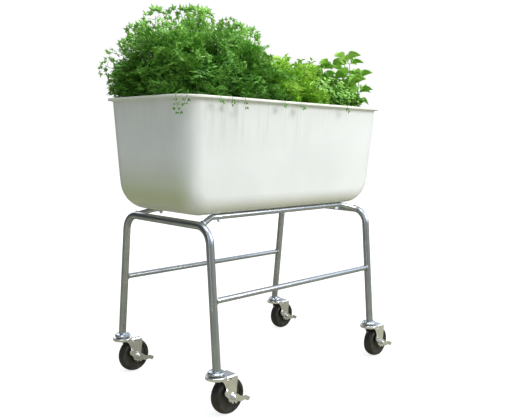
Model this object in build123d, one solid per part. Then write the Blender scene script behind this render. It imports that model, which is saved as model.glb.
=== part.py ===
from build123d import *
import os
from math import cos, pi, radians, sin, sqrt, tan

# A wheeled planter cart: a moulded tub of herbs, cradled by two rails between a pair of
# bent tube end frames, on four swivel casters with side brakes.
# Millimetres. X runs along the tub, Y across it, Z up. The origin is on the floor under the
# middle of the frame.

os.makedirs("parts", exist_ok=True)

# ---- Driving dimensions -------------------------------------------------------------------

# End frames: inverted U bends of 7/8 inch tube
FRAME_HALF_LENGTH = 345.0
LEG_R = 11.1
LEG_WALL = 1.6
LEG_END_Z = 128.0
LEG_END_Y = 222.0
TOP_BAR_Z = 504.0
TOP_CORNER_Y = 188.0
LEG_BEND_R = 50.0

# Stretchers and tub rails: 5/8 inch tube
SLIM_R = 7.94
SLIM_WALL = 1.4
STRETCHER_Z = 309.5
RAIL_Y = 130.0
RAIL_Z = 520.5
RAIL_STRAIGHT_HALF = 288.0
RAIL_BEND_R = 45.0
RAIL_END_X = 345.0
RAIL_END_Y = 155.5
RAIL_END_Z = 504.5
BEAD_SINK = 0.9
BEAD_R = 2.1

# Tub: one moulding with drafted walls and a turned-out rim
RIM_TOP_Z = 843.0
WALL_HALF_LENGTH = 419.0
WALL_HALF_WIDTH = 186.0
TUB_DRAFT = 3.43
TUB_CORNER_R = 55.0
TUB_END_R = 84.0
TUB_WALL = 3.0
RIM_OUT = 13.5
RIM_SHEET = 3.2
RIM_LIP_DEPTH = 6.0
RIM_INNER_R = 4.0
SOIL_TOP_Z = 806.0
DRAIN_HOLE_R = 5.0
DRAIN_X = (-250.0, 0.0, 250.0)
DRAIN_Y = 60.0

# Tub bolts, through the tub's lower edge and the rails
BOLT_X = 262.0
BOLT_R = 3.0
BOLT_HOLE_R = 3.3
BOLT_HEAD_R = 6.0
BOLT_HEAD_HEIGHT = 3.6
SEAL_R = 9.0
SEAL_THICKNESS = 2.4
WASHER_R = 8.0
WASHER_THICKNESS = 1.4
NUT_FLATS = 10.0
NUT_HEIGHT = 5.0

# Casters: four inch hard rubber wheels in stamped forks
WHEEL_R = 50.8
TREAD_HALF = 16.0
HUB_HALF = 18.5
TRAIL = 40.0
FORK_HALF_GAP = 19.5
FORK_SHEET = 2.5
FORK_TOP_Z = 111.0
FORK_FRONT_X = -18.0
FORK_BACK_X = 58.0
RACE_R = 29.3
RACE_TOP_Z = 115.0
CUP_R = 23.5
CUP_UNDER_Z = 119.9
BALL_R = 2.35
BALL_PITCH_R = 17.0
BALL_COUNT = 18
STEM_R = 5.55
STEM_HEIGHT = 38.0
KINGPIN_R = 5.6
RUNNING_GAP = 0.05
BUSHING_R = 8.0
SLEEVE_R = 6.5
AXLE_R = 4.0
LEVER_GAP = 0.3
LEVER_SHEET = 2.5
AXLE_NUT_FLATS = 13.0

# ---- Worked-out places --------------------------------------------------------------------

SPLAY = (LEG_END_Y - TOP_CORNER_Y) / (TOP_BAR_Z - LEG_END_Z)
SWIVEL_Y = LEG_END_Y - SPLAY * STEM_HEIGHT / 2
STRETCHER_Y = TOP_CORNER_Y + SPLAY * (TOP_BAR_Z - STRETCHER_Z)
FORK_OUTER = FORK_HALF_GAP + FORK_SHEET


def wall_half_width(z):
    """Half the tub's outside width at a height."""
    return WALL_HALF_WIDTH - (RIM_TOP_Z - z) * tan(radians(TUB_DRAFT))


def resting_tub():
    """Height of the tub's floor, and the centre of its rounded long edge, as it sits on the rails."""
    floor = RAIL_Z
    for _ in range(20):
        arc_z = floor + TUB_CORNER_R
        arc_y = wall_half_width(arc_z) - TUB_CORNER_R / cos(radians(TUB_DRAFT))
        rise = sqrt((TUB_CORNER_R + SLIM_R + RUNNING_GAP) ** 2 - (RAIL_Y - arc_y) ** 2)
        floor = RAIL_Z + rise - TUB_CORNER_R
    return floor, arc_y, floor + TUB_CORNER_R


TUB_FLOOR_Z, EDGE_ARC_Y, EDGE_ARC_Z = resting_tub()


def save(node, *solids):
    """Writes one sub-part: a single solid, or a group of like ones."""
    shape = solids[0] if len(solids) == 1 else Compound(children=list(solids))
    export_step(shape, f"parts/{node}.step")
    print(f"{node}: {len(solids)} solid(s), {shape.volume:.0f} mm3")


def tube(path, radius, wall):
    """A round tube along a path."""
    start = Plane(origin=path @ 0, z_dir=path % 0)
    skin = sweep(start * Circle(radius), path=path)
    bore = sweep(start * Circle(radius - wall), path=path)
    return skin - bore


def rod(start, end, radius):
    """A solid round bar between two points."""
    along = Vector(*end) - Vector(*start)
    plane = Plane(origin=start, z_dir=along)
    return extrude(plane * Circle(radius), amount=along.length)


def disc(radius, low, high, hole=0.0):
    """A flat ring about the Z axis, from one height to another."""
    ring = Circle(radius) - Circle(hole) if hole else Circle(radius)
    return extrude(Plane.XY.offset(low) * ring, amount=high - low)


def hexagon(flats, low, high, hole):
    """A nut or bolt head about the Z axis, with its corners turned down."""
    across_corners = flats / cos(pi / 6) / 2
    body = extrude(Plane.XY.offset(low) * RegularPolygon(across_corners, 6), amount=high - low)
    turned = disc(across_corners * 0.985, low, high)
    body &= chamfer(turned.edges(), (across_corners - flats / 2) * 0.7)
    return body - disc(hole, low, high) if hole else body


# ---- Frame --------------------------------------------------------------------------------


def leg_axis_y(z):
    """How far out a leg's centreline is at a height."""
    return TOP_CORNER_Y + SPLAY * (TOP_BAR_Z - z)


def end_frame(x):
    """An inverted U of tube with splayed legs, cut level where the casters seat."""
    low = LEG_END_Z - 20
    path = FilletPolyline(
        (x, -leg_axis_y(low), low),
        (x, -TOP_CORNER_Y, TOP_BAR_Z),
        (x, TOP_CORNER_Y, TOP_BAR_Z),
        (x, leg_axis_y(low), low),
        radius=LEG_BEND_R,
    )
    bent = tube(path, LEG_R, LEG_WALL)
    return bent - Pos(x, 0, LEG_END_Z - 50) * Box(100, 3 * LEG_END_Y, 100)


def end_frame_outline(x):
    """The space that an end frame's tube takes, without its bore, to cope other tubes against."""
    path = FilletPolyline(
        (x, -leg_axis_y(LEG_END_Z), LEG_END_Z),
        (x, -TOP_CORNER_Y, TOP_BAR_Z),
        (x, TOP_CORNER_Y, TOP_BAR_Z),
        (x, leg_axis_y(LEG_END_Z), LEG_END_Z),
        radius=LEG_BEND_R,
    )
    return sweep(Plane(origin=path @ 0, z_dir=path % 0) * Circle(LEG_R), path=path)


def leg_socket(x, side):
    """Steel plug pressed into a splayed leg, bored upright for a caster's stem."""
    low, high = LEG_END_Z - 20, LEG_END_Z + STEM_HEIGHT + 6
    plug = rod(
        (x, side * leg_axis_y(low), low),
        (x, side * leg_axis_y(high), high),
        LEG_R - LEG_WALL,
    )
    plug -= Pos(x, side * LEG_END_Y, LEG_END_Z - 50) * Box(100, 100, 100)
    bore = disc(STEM_R + RUNNING_GAP, LEG_END_Z - 1, LEG_END_Z + STEM_HEIGHT + 1)
    return plug - Pos(x, side * SWIVEL_Y, 0) * bore


def bead(point, along, tube_r):
    """A ring of weld around the end of a tube."""
    ring = Torus(tube_r + BEAD_R * 0.25, BEAD_R)
    return Plane(origin=point, z_dir=along).location * ring


frame_left_space = end_frame_outline(-FRAME_HALF_LENGTH)
frame_right_space = end_frame_outline(FRAME_HALF_LENGTH)
frame_space = [frame_left_space, frame_right_space]


def rail_path(side):
    """A rail's centreline: straight under the tub, its ends splayed out and down to the top bars."""
    return FilletPolyline(
        (-RAIL_END_X, side * RAIL_END_Y, RAIL_END_Z),
        (-RAIL_STRAIGHT_HALF, side * RAIL_Y, RAIL_Z),
        (RAIL_STRAIGHT_HALF, side * RAIL_Y, RAIL_Z),
        (RAIL_END_X, side * RAIL_END_Y, RAIL_END_Z),
        radius=RAIL_BEND_R,
    )


def tub_bolt_plane(x, side):
    """A frame whose Z points from a rail's centre to the inside of the tub, square to both."""
    up = Vector(0, side * (EDGE_ARC_Y - RAIL_Y), EDGE_ARC_Z - RAIL_Z)
    return Plane(origin=(x, side * RAIL_Y, RAIL_Z), x_dir=(1, 0, 0), z_dir=up)


def at_tub_bolts(make):
    """One copy of a fastener at each of the four tub bolts."""
    return [
        tub_bolt_plane(x, side).location * make()
        for x in (-BOLT_X, BOLT_X)
        for side in (-1, 1)
    ]


def rail(side):
    """A tub rail, coped to the top bars and drilled for the tub bolts."""
    body = tube(rail_path(side), SLIM_R, SLIM_WALL)
    for space in frame_space:
        body -= space
    for x in (-BOLT_X, BOLT_X):
        body -= tub_bolt_plane(x, side).location * disc(BOLT_HOLE_R, -12, 12)
    return body


def stretcher(side):
    """A straight tube between the legs of one long side, coped to them."""
    path = Line(
        (-FRAME_HALF_LENGTH, side * STRETCHER_Y, STRETCHER_Z),
        (FRAME_HALF_LENGTH, side * STRETCHER_Y, STRETCHER_Z),
    )
    body = tube(path, SLIM_R, SLIM_WALL)
    for space in frame_space:
        body -= space
    return body


def weld_beads():
    """The weld around each end of the stretchers and rails."""
    beads = []
    for end, space in ((-1, frame_left_space), (1, frame_right_space)):
        for side in (-1, 1):
            core = rod(
                (-FRAME_HALF_LENGTH, side * STRETCHER_Y, STRETCHER_Z),
                (FRAME_HALF_LENGTH, side * STRETCHER_Y, STRETCHER_Z),
                SLIM_R,
            )
            place = (end * (FRAME_HALF_LENGTH - LEG_R + BEAD_SINK), side * STRETCHER_Y, STRETCHER_Z)
            beads.append(bead(place, (1, 0, 0), SLIM_R) - core - space)
            path = rail_path(side)
            at = 0 if end < 0 else 1
            core = sweep(Plane(origin=path @ 0, z_dir=path % 0) * Circle(SLIM_R), path=path)
            inward = (path % at) * (-end)
            square = Vector(inward.X, 0, inward.Z).normalized()
            reach = (LEG_R - BEAD_SINK) / square.dot(inward)
            beads.append(bead((path @ at) + inward * reach, square, SLIM_R) - core - space)
    return [solid for ring in beads for solid in ring.solids() if solid.volume > 5]


save("end_frame_left", end_frame(-FRAME_HALF_LENGTH))
save("end_frame_right", end_frame(FRAME_HALF_LENGTH))
save("rail_front", rail(-1))
save("rail_rear", rail(1))
save("stretcher_front", stretcher(-1))
save("stretcher_rear", stretcher(1))
save("weld_beads", *weld_beads())
save(
    "leg_sockets",
    *[leg_socket(x, side) for x in (-FRAME_HALF_LENGTH, FRAME_HALF_LENGTH) for side in (-1, 1)],
)

# ---- Tub and its fasteners ----------------------------------------------------------------


def tapered_block(inset):
    """The tub's outside, or, inset by the wall, the space inside it."""
    outline = Rectangle(2 * (WALL_HALF_LENGTH - inset), 2 * (WALL_HALF_WIDTH - inset))
    depth = RIM_TOP_Z - TUB_FLOOR_Z - inset
    block = extrude(Plane.XY.offset(RIM_TOP_Z) * outline, amount=-depth, taper=TUB_DRAFT)
    low_ends = block.edges().filter_by(Axis.Y).group_by(Axis.Z)[0]
    block = fillet(low_ends, TUB_END_R - inset)
    sides = block.faces().sort_by(Axis.Y)
    edges = [
        edge
        for side in (sides[0], sides[-1])
        for edge in side.edges()
        if edge.center().Z < RIM_TOP_Z - 1
    ]
    return fillet(edges, TUB_CORNER_R - inset)


def rim():
    """The wall's turned-out top: a flared flange with a short lip turned down around it."""
    outline = RectangleRounded(2 * WALL_HALF_LENGTH, 2 * WALL_HALF_WIDTH, TUB_CORNER_R)
    path = (Plane.XY.offset(RIM_TOP_Z) * outline).wire()
    start = path @ 0
    outward = (path % 0).cross(Vector(0, 0, 1))
    if outward.dot(Vector(start.X, start.Y, 0)) < 0:
        outward = -outward
    section = Plane(origin=start, x_dir=outward, z_dir=outward.cross(Vector(0, 0, 1)))
    root = -TUB_WALL / 2  # inside the wall's thickness, so that the two join all round
    lip = RIM_OUT - 2.6
    edge = (
        Line((root, 0), (RIM_OUT - 2, 0))
        + RadiusArc((RIM_OUT - 2, 0), (RIM_OUT, -2), 2)
        + Line((RIM_OUT, -2), (RIM_OUT, -RIM_LIP_DEPTH))
        + Line((RIM_OUT, -RIM_LIP_DEPTH), (lip, -RIM_LIP_DEPTH))
        + Line((lip, -RIM_LIP_DEPTH), (lip, -RIM_SHEET))
        + Line((lip, -RIM_SHEET), (8, -RIM_SHEET))
        + RadiusArc((8, -RIM_SHEET), (root, -14), -14)
        + Line((root, -14), (root, 0))
    )
    return sweep(section * make_face(edge), path=path)


def tub(cavity):
    """The whole moulding, with drain holes in its floor and a hole for each tub bolt."""
    body = tapered_block(0) - cavity + rim()
    inner_edges = [
        edge
        for edge in body.edges()
        if abs(edge.center().Z - RIM_TOP_Z) < 0.01 and cavity_reaches(edge.center())
    ]
    body = fillet(inner_edges, RIM_INNER_R)
    for x in DRAIN_X:
        for side in (-1, 1):
            hole = disc(DRAIN_HOLE_R, TUB_FLOOR_Z - 1, TUB_FLOOR_Z + TUB_WALL + 1)
            body -= Pos(x, side * DRAIN_Y, 0) * hole
    for x in (-BOLT_X, BOLT_X):
        for side in (-1, 1):
            body -= tub_bolt_plane(x, side).location * disc(BOLT_HOLE_R, 2, 20)
    return body


def cavity_reaches(point):
    """Whether a point at the rim is on the inner edge of the wall."""
    inside_x = abs(point.X) < WALL_HALF_LENGTH - TUB_WALL / 2
    inside_y = abs(point.Y) < WALL_HALF_WIDTH - TUB_WALL / 2
    return inside_x and inside_y


# Heights along a tub bolt, from the rail's centre
WALL_INSIDE = SLIM_R + RUNNING_GAP + TUB_WALL
SEAL_TOP = WALL_INSIDE + SEAL_THICKNESS
WASHER_TOP = SEAL_TOP + WASHER_THICKNESS
NUT_TOP = -SLIM_R - 0.05
NUT_LOW = NUT_TOP - NUT_HEIGHT


def bolt():
    """Pan head screw."""
    head = disc(BOLT_HEAD_R, WASHER_TOP, WASHER_TOP + BOLT_HEAD_HEIGHT)
    head = fillet(head.edges().sort_by(Axis.Z)[-1], 2.4)
    slot = Pos(0, 0, WASHER_TOP + BOLT_HEAD_HEIGHT) * Box(BOLT_HEAD_R * 2, 1.4, 2.6)
    shank = disc(BOLT_R, NUT_LOW - 3, WASHER_TOP)
    return head - slot + chamfer(shank.edges().sort_by(Axis.Z)[0], 0.6)


cavity = tapered_block(TUB_WALL)
tub_body = tub(cavity)
save("tub", tub_body)

save("tub_bolts", *at_tub_bolts(bolt))
save("tub_bolt_washers", *at_tub_bolts(lambda: disc(WASHER_R, SEAL_TOP, WASHER_TOP, BOLT_HOLE_R)))
seals = at_tub_bolts(lambda: disc(SEAL_R, WALL_INSIDE - 1.5, SEAL_TOP, BOLT_HOLE_R))
save("tub_bolt_seals", *[seal & cavity for seal in seals])
save("tub_bolt_nuts", *at_tub_bolts(lambda: hexagon(NUT_FLATS, NUT_LOW, NUT_TOP, BOLT_R)))

# ---- Soil and plants ----------------------------------------------------------------------

PLANT_SKIN = 4.0


def soil():
    """Potting mix that fills the tub to a little under the rim, around the bolts' heads."""
    above = Pos(0, 0, SOIL_TOP_Z + 100) * Box(1000, 500, 200)
    body = cavity - above
    for pocket in at_tub_bolts(lambda: disc(SEAL_R + 0.5, WALL_INSIDE - 3, WASHER_TOP + 5)):
        body -= pocket
    return body


def leafy_dome(centre, half_sizes, skin=PLANT_SKIN):
    """A hollow dome of foliage that stands on the soil."""
    outer = Sphere(1)
    inner = Sphere(1)
    outer = scale(outer, by=half_sizes)
    inner = scale(inner, by=tuple(size - skin for size in half_sizes))
    below = Pos(0, 0, SOIL_TOP_Z - centre[2] - 200) * Box(1000, 600, 400)
    return Pos(*centre) * (outer - inner - below)


def plants():
    """Tall parsley over the left half, low herbs to the right and a basil at the right-hand end."""
    parsley = leafy_dome((-190, 0, 930), (255, 188, 156))
    basil = leafy_dome((348, -82, 905), (62, 78, 122))
    herbs = leafy_dome((205, 0, 858), (180, 160, 92))
    herbs -= Pos(348, -82, 905) * scale(Sphere(1), by=(64, 80, 124))
    herbs -= Pos(-132, 0, 900) * Box(400, 500, 400)
    herb_solids = sorted(herbs.solids(), key=lambda solid: solid.volume)
    return parsley, herb_solids[-1], basil


save("soil", soil())
parsley, herbs, basil = plants()
save("parsley_bush", parsley)
save("low_herbs", herbs)
save("basil_bush", basil)

# ---- Casters ------------------------------------------------------------------------------
# Each piece is modelled with the swivel axis on Z and the axle at X = TRAIL, Z = WHEEL_R,
# trailing towards +X, and then moved to its leg.

AXLE = Pos(TRAIL, 0, WHEEL_R)
ACROSS = Rot(90, 0, 0)  # turns a shape about Z to lie along the axle, its top towards -Y


def along_axle(shape):
    """Turns a shape made about Z to lie along the axle, its +Z towards the brake's side."""
    return AXLE * ACROSS * shape


def caster_stem():
    """Stem, kingpin and the riveted head under the fork, turned in one piece."""
    stem = chamfer(disc(STEM_R, LEG_END_Z, LEG_END_Z + STEM_HEIGHT).edges().sort_by(Axis.Z)[-1], 1)
    kingpin = disc(KINGPIN_R, RACE_TOP_Z - 3, LEG_END_Z)
    head = disc(11, RACE_TOP_Z - 7, RACE_TOP_Z - 3 - 0.1)
    head = chamfer(head.edges().sort_by(Axis.Z)[0], 2)
    neck = disc(KINGPIN_R, RACE_TOP_Z - 4, RACE_TOP_Z - 3)
    return stem + kingpin + neck + head


def upper_race():
    """Domed cup that carries the balls and takes the leg's end."""
    section = make_face(
        Polyline(
            (KINGPIN_R, LEG_END_Z),
            (12.5, LEG_END_Z),
            (20.5, LEG_END_Z - 2.6),
            (CUP_R, LEG_END_Z - 5.4),
            (CUP_R, CUP_UNDER_Z - 1.2),
            (CUP_R - 2.2, CUP_UNDER_Z - 1.2),
            (CUP_R - 2.2, CUP_UNDER_Z),
            (KINGPIN_R, CUP_UNDER_Z),
            (KINGPIN_R, LEG_END_Z),
        )
    )
    cup = revolve(Plane.XZ * section, Axis.Z)
    shoulders = [edge for edge in cup.edges() if edge.center().Z > CUP_UNDER_Z + 1 and edge.length > 110]
    return fillet(shoulders, 1.2)


def ball_ring():
    """The ring of steel balls between the races."""
    ball_z = (CUP_UNDER_Z + RACE_TOP_Z) / 2
    return [
        Pos(BALL_PITCH_R * cos(turn), BALL_PITCH_R * sin(turn), ball_z) * Sphere(BALL_R)
        for turn in [2 * pi * count / BALL_COUNT for count in range(BALL_COUNT)]
    ]


def fork_side_outline():
    """The stamped fork seen from the side: a swept skirt in front, and a leg down to the axle."""
    axle_ear = 13.5
    shoulder = 9
    crown = FORK_TOP_Z + 1
    return make_face(
        Line((-32, crown), (-32, 108.6))
        + Line((-32, 108.6), (-16, 107.6))
        + Bezier((-16, 107.6), (6, 105.5), (10, 96), (15, 82))
        + Line((15, 82), (TRAIL - axle_ear, 58))
        + ThreePointArc((TRAIL - axle_ear, 58), (TRAIL, 35.6), (TRAIL + axle_ear, 58))
        + Line((TRAIL + axle_ear, 58), (FORK_BACK_X, 97))
        + Line((FORK_BACK_X, 97), (FORK_BACK_X, crown - shoulder))
        + RadiusArc((FORK_BACK_X, crown - shoulder), (FORK_BACK_X - shoulder, crown), -shoulder)
        + Line((FORK_BACK_X - shoulder, crown), (-32, crown))
    )


def fork_channel():
    """The fork's top plate and its two legs, as a bent channel open at both ends."""
    legs_down = FORK_TOP_Z - 30
    bend_outside = 7
    bend_inside = bend_outside - FORK_SHEET
    outer = Plane.YZ * Pos(0, FORK_TOP_Z - legs_down / 2) * Rectangle(2 * FORK_OUTER, legs_down)
    inner_height = legs_down - 3
    inner = Pos(0, FORK_TOP_Z - 3 - inner_height / 2) * Rectangle(2 * FORK_HALF_GAP, inner_height)
    channel = Pos(FORK_FRONT_X, 0, 0) * extrude(outer, amount=FORK_BACK_X - FORK_FRONT_X)
    bends = channel.edges().filter_by(Axis.X).group_by(Axis.Z)[-1]
    channel = fillet(bends, bend_outside)
    hollow = Pos(FORK_FRONT_X, 0, 0) * extrude(Plane.YZ * inner, amount=FORK_BACK_X - FORK_FRONT_X)
    bends = hollow.edges().filter_by(Axis.X).group_by(Axis.Z)[-1]
    return channel - fillet(bends, bend_inside)


def fork_race():
    """The fork's raised round top, which the balls run on, with its skirt."""
    outside = disc(RACE_R, FORK_TOP_Z - 4.5, RACE_TOP_Z)
    outside = fillet(outside.edges().sort_by(Axis.Z)[-1], 2.4)
    inside = disc(RACE_R - FORK_SHEET, FORK_TOP_Z - 4.5, RACE_TOP_Z - 3)
    return outside - inside


def fork():
    """Stamped steel fork with a rib and a small hole in each leg."""
    body = fork_channel() & extrude(Plane.XZ * fork_side_outline(), amount=40, both=True)
    pocket = disc(RACE_R - FORK_SHEET, FORK_TOP_Z - 4.5, RACE_TOP_Z - 3)
    pocket &= Pos(0, 0, FORK_TOP_Z) * Box(80, 2 * FORK_HALF_GAP, 20)
    body = body - pocket + fork_race()
    for side in (-1, 1):
        rib = rod((22, side * (FORK_OUTER - 0.3), 101), (25.5, side * (FORK_OUTER - 0.3), 84), 1.9)
        rib += Pos(22, side * (FORK_OUTER - 0.3), 101) * Sphere(1.9)
        rib += Pos(25.5, side * (FORK_OUTER - 0.3), 84) * Sphere(1.9)
        inward = Pos(24, side * (FORK_OUTER - 10.1), 90) * Box(60, 20, 60)
        body += rib - inward
        body -= rod((33, side * 15, 103), (33, side * 30, 103), 2.3)
    body -= disc(KINGPIN_R + RUNNING_GAP, RACE_TOP_Z - 4, RACE_TOP_Z + 1)
    body -= along_axle(disc(AXLE_R + RUNNING_GAP, -40, 40))
    return body


def wheel():
    """Hard rubber wheel with a crowned tread, a dished side and a bore for its bushing."""
    half = [
        (BUSHING_R, HUB_HALF),
        (14.5, HUB_HALF),
        (16.5, 16.5),
        (18.5, 12.0),
        (33.0, 12.0),
        (34.5, 14.2),
        (37.5, 14.2),
        (38.6, TREAD_HALF),
        (43.5, TREAD_HALF),
        (46.8, 14.0),
    ]
    mirrored = [(r, -y) for r, y in reversed(half)]
    outline = (
        Polyline(*half)
        + ThreePointArc(half[-1], (WHEEL_R, 0), mirrored[0])
        + Polyline(*mirrored)
        + Line(mirrored[-1], half[0])
    )
    return along_axle(revolve(Plane.XZ * make_face(outline), Axis.Z))


def axle_bolt():
    """Axle bolt: its head on the far side of the fork, its thread through the brake lever."""
    head = hexagon(AXLE_NUT_FLATS, -FORK_OUTER - 5.3, -FORK_OUTER, 0)
    shank = disc(AXLE_R, -FORK_OUTER, NUT_OUT + 2.5)
    shank = chamfer(shank.edges().sort_by(Axis.Z)[-1], 0.8)
    return along_axle(head + shank)


LEVER_LOW = FORK_OUTER + LEVER_GAP
LEVER_HIGH = LEVER_LOW + LEVER_SHEET
NUT_IN = LEVER_HIGH + LEVER_GAP
NUT_OUT = NUT_IN + 6.8


EAR = (-21, 17)


def lever_outline():
    """The brake lever's flat part, with x along the trail and y up from the axle."""
    hub = Circle(12.5)
    ear = Pos(*EAR) * Circle(9.5)
    neck = make_face(Polyline((-3, 12.4), (-17, 25.5), (-29, 12), (-9, -8), (-3, 12.4)))
    arm = make_face(
        Polyline(
            (4, 11),
            (14, 6),
            (28, -4),
            (42, -8.5),
            (46, -12.5),
            (43, -18.5),
            (28, -20),
            (10, -13),
            (4, 11),
        )
    )
    lobe_front = make_face(Polyline((-8, -6), (-4, -16.5), (0, -18), (4, -10), (-8, -6)))
    lobe_back = make_face(Polyline((2, -10), (7, -18.5), (12, -20), (17, -13), (2, -10)))
    return hub + ear + neck + arm + lobe_front + lobe_back


def brake_lever():
    """Stamped side brake: a lever on the axle bolt, with its pedal folded out at the end."""
    flat = extrude(Plane.XY.offset(LEVER_LOW) * lever_outline(), amount=LEVER_SHEET)
    dimple = Pos(*EAR, LEVER_HIGH) * Sphere(5.5)
    dimple -= Pos(*EAR, LEVER_HIGH - 10) * Box(20, 20, 20)
    dimple &= Pos(*EAR, LEVER_HIGH) * Box(20, 20, 3)
    flat += dimple
    pedal = Box(17, 12, LEVER_SHEET)
    pedal = fillet(pedal.edges().filter_by(Axis.Z), 3)
    pedal = Pos(47, -13.8, LEVER_LOW + 4.2) * Rot(0, 0, -18) * Rot(18, -32, 0) * pedal
    slim = flat + pedal
    slim -= disc(AXLE_R + RUNNING_GAP, LEVER_LOW - 1, LEVER_HIGH + 1)
    return along_axle(slim)


def caster_pieces():
    """Every piece of one caster, by its name."""
    return {
        "stem": [caster_stem()],
        "upper_race": [upper_race()],
        "balls": ball_ring(),
        "fork": [fork()],
        "wheel": [wheel()],
        "bushing": [along_axle(disc(BUSHING_R, -HUB_HALF, HUB_HALF, SLEEVE_R + RUNNING_GAP))],
        "axle_sleeve": [along_axle(disc(SLEEVE_R, -FORK_HALF_GAP, FORK_HALF_GAP, AXLE_R + RUNNING_GAP))],
        "axle_bolt": [axle_bolt()],
        "axle_nut": [along_axle(hexagon(AXLE_NUT_FLATS, NUT_IN, NUT_OUT, AXLE_R))],
        "brake_lever": [brake_lever()],
    }


pieces = caster_pieces()
for length_name, x in (("left", -FRAME_HALF_LENGTH), ("right", FRAME_HALF_LENGTH)):
    for side_name, side in (("front", -1), ("rear", 1)):
        leg = Pos(x, side * SWIVEL_Y, 0)
        for name, solids in pieces.items():
            save(f"caster_{side_name}_{length_name}_{name}", *[leg * solid for solid in solids])
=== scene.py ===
# %% [markdown]
# # A wheeled herb planter
#
# The object is a long white tub of herbs, cradled on a frame of bent zinc-plated tube that rolls
# on four braked casters. The hard parts come ready-made from the CAD frame, where each one sits at
# its true size and place. This notebook gives them their real finishes, grows the plants leaf by
# leaf, and sets up the floor, the light and the camera.

# %% Open the frame
import math
import random

import bmesh
import bpy
from mathutils import Matrix, Vector, noise


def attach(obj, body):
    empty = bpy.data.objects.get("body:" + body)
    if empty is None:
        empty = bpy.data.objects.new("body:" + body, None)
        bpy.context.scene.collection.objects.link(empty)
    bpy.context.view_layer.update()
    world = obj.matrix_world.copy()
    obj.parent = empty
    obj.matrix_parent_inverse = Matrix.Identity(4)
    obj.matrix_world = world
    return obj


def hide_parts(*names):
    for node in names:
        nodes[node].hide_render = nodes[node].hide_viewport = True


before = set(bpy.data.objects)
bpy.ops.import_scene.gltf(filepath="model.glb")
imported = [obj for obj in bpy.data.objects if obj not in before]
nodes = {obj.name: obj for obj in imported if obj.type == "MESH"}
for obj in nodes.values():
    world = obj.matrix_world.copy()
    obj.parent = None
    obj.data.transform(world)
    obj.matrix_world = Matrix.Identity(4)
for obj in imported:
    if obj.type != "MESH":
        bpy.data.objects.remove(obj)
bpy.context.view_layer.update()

# %% [markdown]
# ## The camera
#
# The planter is seen from a little below the height of its rim, off its front left corner, with a
# slight lean. A camera's own axes are right, up and backwards, so its matrix can be written
# straight from the direction in which it looks.

# %% Place the camera
CAMERA_PLACE = Vector((-1.41375, -1.42856, 0.73206))
TURN, DIP, LEAN = 44.83, 6.31, 0.87
SENSOR_WIDTH = 36
FOCAL_LENGTH = 44.21
turn, dip, lean = (math.radians(angle) for angle in (TURN, DIP, LEAN))
ahead = Vector((math.cos(turn) * math.cos(dip), math.sin(turn) * math.cos(dip), -math.sin(dip)))
level = Vector((math.sin(turn), -math.cos(turn), 0))
above = level.cross(ahead)
right = level * math.cos(lean) + above * math.sin(lean)
up = above * math.cos(lean) - level * math.sin(lean)
camera_data = bpy.data.cameras.new("camera")
camera_data.sensor_width = SENSOR_WIDTH
camera_data.lens = FOCAL_LENGTH
camera = bpy.data.objects.new("camera", camera_data)
axes = Matrix((right, up, -ahead)).transposed().to_4x4()
camera.matrix_world = Matrix.Translation(CAMERA_PLACE) @ axes
bpy.context.scene.collection.objects.link(camera)
bpy.context.scene.camera = camera
print("camera looks along", [round(part, 3) for part in ahead])

# %% [markdown]
# ## Light and floor
#
# The tub's long side is bright and its left end is in soft shade, so the main light is large and
# high, out in front and to the right. Polished metal shows whatever is round it. A plain white
# room would leave the tubes flat, so the room is bright overhead and darker and greener low down,
# as outdoors, and brighter on the side of the main light. Reflections see the same room with more
# contrast, and a tall narrow light on the left draws a bright line down each tube. The camera itself
# sees a clean white room. The Light Path node allows both.

# %% Light the room
TOWARDS_SUN = (0.62, -0.62, 0.48)
scene = bpy.context.scene
scene.view_settings.view_transform = "Standard"
world = bpy.data.worlds.new("room")
scene.world = world
world.use_nodes = True
room = world.node_tree
room.nodes.clear()


def wire(tree, *links):
    """Joins sockets, given as (from node, socket, to node, socket)."""
    for from_node, from_socket, to_node, to_socket in links:
        tree.links.new(from_node.outputs[from_socket], to_node.inputs[to_socket])


def ramp(tree, stops, easing="LINEAR"):
    """A colour ramp from (place, colour) stops."""
    node = tree.nodes.new("ShaderNodeValToRGB")
    node.color_ramp.interpolation = easing
    elements = node.color_ramp.elements
    while len(elements) < len(stops):
        elements.new(0.5)
    for element, (place, colour) in zip(elements, stops):
        element.position = place
        element.color = (*colour, 1)
    return node


def set_range(node, *values):
    """Sets a Map Range node's four limits: from low, from high, to low, to high."""
    for socket, value in zip(("From Min", "From Max", "To Min", "To Max"), values):
        node.inputs[socket].default_value = value


direction = room.nodes.new("ShaderNodeTexCoord")
height = room.nodes.new("ShaderNodeSeparateXYZ")
half = room.nodes.new("ShaderNodeMath")
half.operation = "MULTIPLY_ADD"
half.inputs[1].default_value = 0.5
half.inputs[2].default_value = 0.5
sky = ramp(
    room,
    [
        (0.0, (0.30, 0.30, 0.20)),
        (0.40, (0.22, 0.24, 0.15)),
        (0.50, (0.16, 0.19, 0.15)),
        (0.56, (0.55, 0.62, 0.66)),
        (0.72, (0.85, 0.92, 1.0)),
        (1.0, (0.80, 0.88, 1.0)),
    ],
)
lit = room.nodes.new("ShaderNodeBackground")
clean = room.nodes.new("ShaderNodeBackground")
clean.inputs["Color"].default_value = (1, 1, 1, 1)
clean.inputs["Strength"].default_value = 1.0
either = room.nodes.new("ShaderNodeMixShader")
out = room.nodes.new("ShaderNodeOutputWorld")
bright_side = room.nodes.new("ShaderNodeVectorMath")
bright_side.operation = "DOT_PRODUCT"
bright_side.inputs[1].default_value = TOWARDS_SUN
side_strength = room.nodes.new("ShaderNodeMapRange")
set_range(side_strength, -0.8, 0.9, 0.26, 0.92)
mirrored_strength = room.nodes.new("ShaderNodeMapRange")
set_range(mirrored_strength, -0.25, 0.85, 0.10, 1.45)
path = room.nodes.new("ShaderNodeLightPath")
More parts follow.
